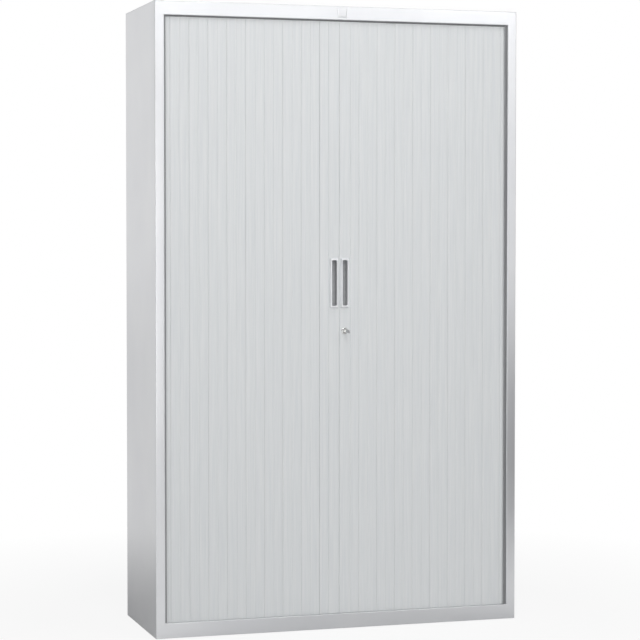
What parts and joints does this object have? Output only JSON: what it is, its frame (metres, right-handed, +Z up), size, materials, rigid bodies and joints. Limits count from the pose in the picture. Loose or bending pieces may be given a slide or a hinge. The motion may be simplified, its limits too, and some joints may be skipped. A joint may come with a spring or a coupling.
{
  "type": "tambour cupboard",
  "caption": "Tall sheet-metal storage cupboard with slatted curtains that slide sideways from the middle, recessed pull handles, a turn lock with key, shelves and levelling feet.",
  "frame": {"origin": "middle of the bounding box in plan, on the floor; the key sticks out in front, so the carcass lies 21.8 mm behind it", "axes": "+X to the right seen from the front, +Y towards the back, +Z up"},
  "size_m": [1.2, 0.4736, 1.98],
  "materials": {
    "carcass": "semi-gloss silver-grey powder coat with fine metal flakes",
    "slats": "smooth satin extruded plastic",
    "tracks": "matt moulded plastic",
    "silver_trim": "satin",
    "dark_plastic": "fine-grained",
    "lock_steel": "polished nickel plate",
    "feet": "matt"
  },
  "bodies": {
    "cabinet": {"top_panel": "carcass", "bottom_panel": "carcass", "back_panel": "carcass", "inner_back_panel": "carcass", "blank_plate": "silver_trim", "left_side_panel": "carcass", "left_lining": "carcass", "left_top_track": "tracks", "left_bottom_track": "tracks", "left_slat_8": "slats", "left_corner_slat": "slats", "left_front_foot": "feet", "left_back_foot": "feet", "left_bracket_1": "carcass", "left_bracket_2": "carcass", "left_bracket_3": "carcass", "left_bracket_4": "carcass", "right_side_panel": "carcass", "right_lining": "carcass", "right_top_track": "tracks", "right_bottom_track": "tracks", "right_slat_8": "slats", "right_corner_slat": "slats", "right_front_foot": "feet", "right_back_foot": "feet", "right_bracket_1": "carcass", "right_bracket_2": "carcass", "right_bracket_3": "carcass", "right_bracket_4": "carcass", "shelf_1": "carcass", "shelf_2": "carcass", "shelf_3": "carcass", "shelf_4": "carcass"},
    "left_door": {"left_lead_slat": "slats", "left_handle_frame": "silver_trim", "left_handle_cup": "dark_plastic", "lock_keeper": "lock_steel"},
    "right_door": {"right_lead_slat": "slats", "right_handle_frame": "silver_trim", "right_handle_cup": "dark_plastic", "lock_housing": "lock_steel"},
    "lock": {"lock_plug": "lock_steel", "lock_cam": "lock_steel"},
    "key": {"key_blade": "lock_steel", "key_head": "dark_plastic"},
    "left_slat_body_1": {"left_slat_1": "slats"},
    "left_slat_body_2": {"left_slat_2": "slats"},
    "left_slat_body_3": {"left_slat_3": "slats"},
    "left_slat_body_4": {"left_slat_4": "slats"},
    "left_slat_body_5": {"left_slat_5": "slats"},
    "left_slat_body_6": {"left_slat_6": "slats"},
    "left_slat_body_7": {"left_slat_7": "slats"},
    "right_slat_body_1": {"right_slat_1": "slats"},
    "right_slat_body_2": {"right_slat_2": "slats"},
    "right_slat_body_3": {"right_slat_3": "slats"},
    "right_slat_body_4": {"right_slat_4": "slats"},
    "right_slat_body_5": {"right_slat_5": "slats"},
    "right_slat_body_6": {"right_slat_6": "slats"},
    "right_slat_body_7": {"right_slat_7": "slats"}
  },
  "joints": [
    {"name": "left_door_slide", "type": "slide", "parent": "cabinet", "child": "left_door", "axis": [-1, 0, 0], "range_m": [0, 0.48], "deforming": ["left_slat_1", "left_slat_2", "left_slat_3", "left_slat_4", "left_slat_5", "left_slat_6", "left_slat_7", "left_slat_8"]},
    {"name": "right_door_slide", "type": "slide", "parent": "cabinet", "child": "right_door", "axis": [1, 0, 0], "range_m": [0, 0.48], "deforming": ["right_slat_1", "right_slat_2", "right_slat_3", "right_slat_4", "right_slat_5", "right_slat_6", "right_slat_7", "right_slat_8"]},
    {"name": "left_slat_1_slide", "type": "slide", "parent": "cabinet", "child": "left_slat_body_1", "axis": [-1, 0, 0], "range_m": [0, 0.42]},
    {"name": "left_slat_2_slide", "type": "slide", "parent": "cabinet", "child": "left_slat_body_2", "axis": [-1, 0, 0], "range_m": [0, 0.36]},
    {"name": "left_slat_3_slide", "type": "slide", "parent": "cabinet", "child": "left_slat_body_3", "axis": [-1, 0, 0], "range_m": [0, 0.3]},
    {"name": "left_slat_4_slide", "type": "slide", "parent": "cabinet", "child": "left_slat_body_4", "axis": [-1, 0, 0], "range_m": [0, 0.24]},
    {"name": "left_slat_5_slide", "type": "slide", "parent": "cabinet", "child": "left_slat_body_5", "axis": [-1, 0, 0], "range_m": [0, 0.18]},
    {"name": "left_slat_6_slide", "type": "slide", "parent": "cabinet", "child": "left_slat_body_6", "axis": [-1, 0, 0], "range_m": [0, 0.12]},
    {"name": "left_slat_7_slide", "type": "slide", "parent": "cabinet", "child": "left_slat_body_7", "axis": [-1, 0, 0], "range_m": [0, 0.06]},
    {"name": "right_slat_1_slide", "type": "slide", "parent": "cabinet", "child": "right_slat_body_1", "axis": [1, 0, 0], "range_m": [0, 0.42]},
    {"name": "right_slat_2_slide", "type": "slide", "parent": "cabinet", "child": "right_slat_body_2", "axis": [1, 0, 0], "range_m": [0, 0.36]},
    {"name": "right_slat_3_slide", "type": "slide", "parent": "cabinet", "child": "right_slat_body_3", "axis": [1, 0, 0], "range_m": [0, 0.3]},
    {"name": "right_slat_4_slide", "type": "slide", "parent": "cabinet", "child": "right_slat_body_4", "axis": [1, 0, 0], "range_m": [0, 0.24]},
    {"name": "right_slat_5_slide", "type": "slide", "parent": "cabinet", "child": "right_slat_body_5", "axis": [1, 0, 0], "range_m": [0, 0.18]},
    {"name": "right_slat_6_slide", "type": "slide", "parent": "cabinet", "child": "right_slat_body_6", "axis": [1, 0, 0], "range_m": [0, 0.12]},
    {"name": "right_slat_7_slide", "type": "slide", "parent": "cabinet", "child": "right_slat_body_7", "axis": [1, 0, 0], "range_m": [0, 0.06]},
    {"name": "lock_turn", "type": "hinge", "parent": "right_door", "child": "lock", "pos_m": [0.0182, -0.18485, 0.9525], "axis": [0, 1, 0], "range_deg": [0, 90]},
    {"name": "key_pull", "type": "slide", "parent": "lock", "child": "key", "axis": [0, -1, 0], "range_m": [0, 0.03]}
  ],
  "couplings": [
    {"joint": "left_slat_1_slide", "follows": "left_door_slide", "ratio": 0.875},
    {"joint": "left_slat_2_slide", "follows": "left_door_slide", "ratio": 0.75},
    {"joint": "left_slat_3_slide", "follows": "left_door_slide", "ratio": 0.625},
    {"joint": "left_slat_4_slide", "follows": "left_door_slide", "ratio": 0.5},
    {"joint": "left_slat_5_slide", "follows": "left_door_slide", "ratio": 0.375},
    {"joint": "left_slat_6_slide", "follows": "left_door_slide", "ratio": 0.25},
    {"joint": "left_slat_7_slide", "follows": "left_door_slide", "ratio": 0.125},
    {"joint": "right_slat_1_slide", "follows": "right_door_slide", "ratio": 0.875},
    {"joint": "right_slat_2_slide", "follows": "right_door_slide", "ratio": 0.75},
    {"joint": "right_slat_3_slide", "follows": "right_door_slide", "ratio": 0.625},
    {"joint": "right_slat_4_slide", "follows": "right_door_slide", "ratio": 0.5},
    {"joint": "right_slat_5_slide", "follows": "right_door_slide", "ratio": 0.375},
    {"joint": "right_slat_6_slide", "follows": "right_door_slide", "ratio": 0.25},
    {"joint": "right_slat_7_slide", "follows": "right_door_slide", "ratio": 0.125}
  ]
}
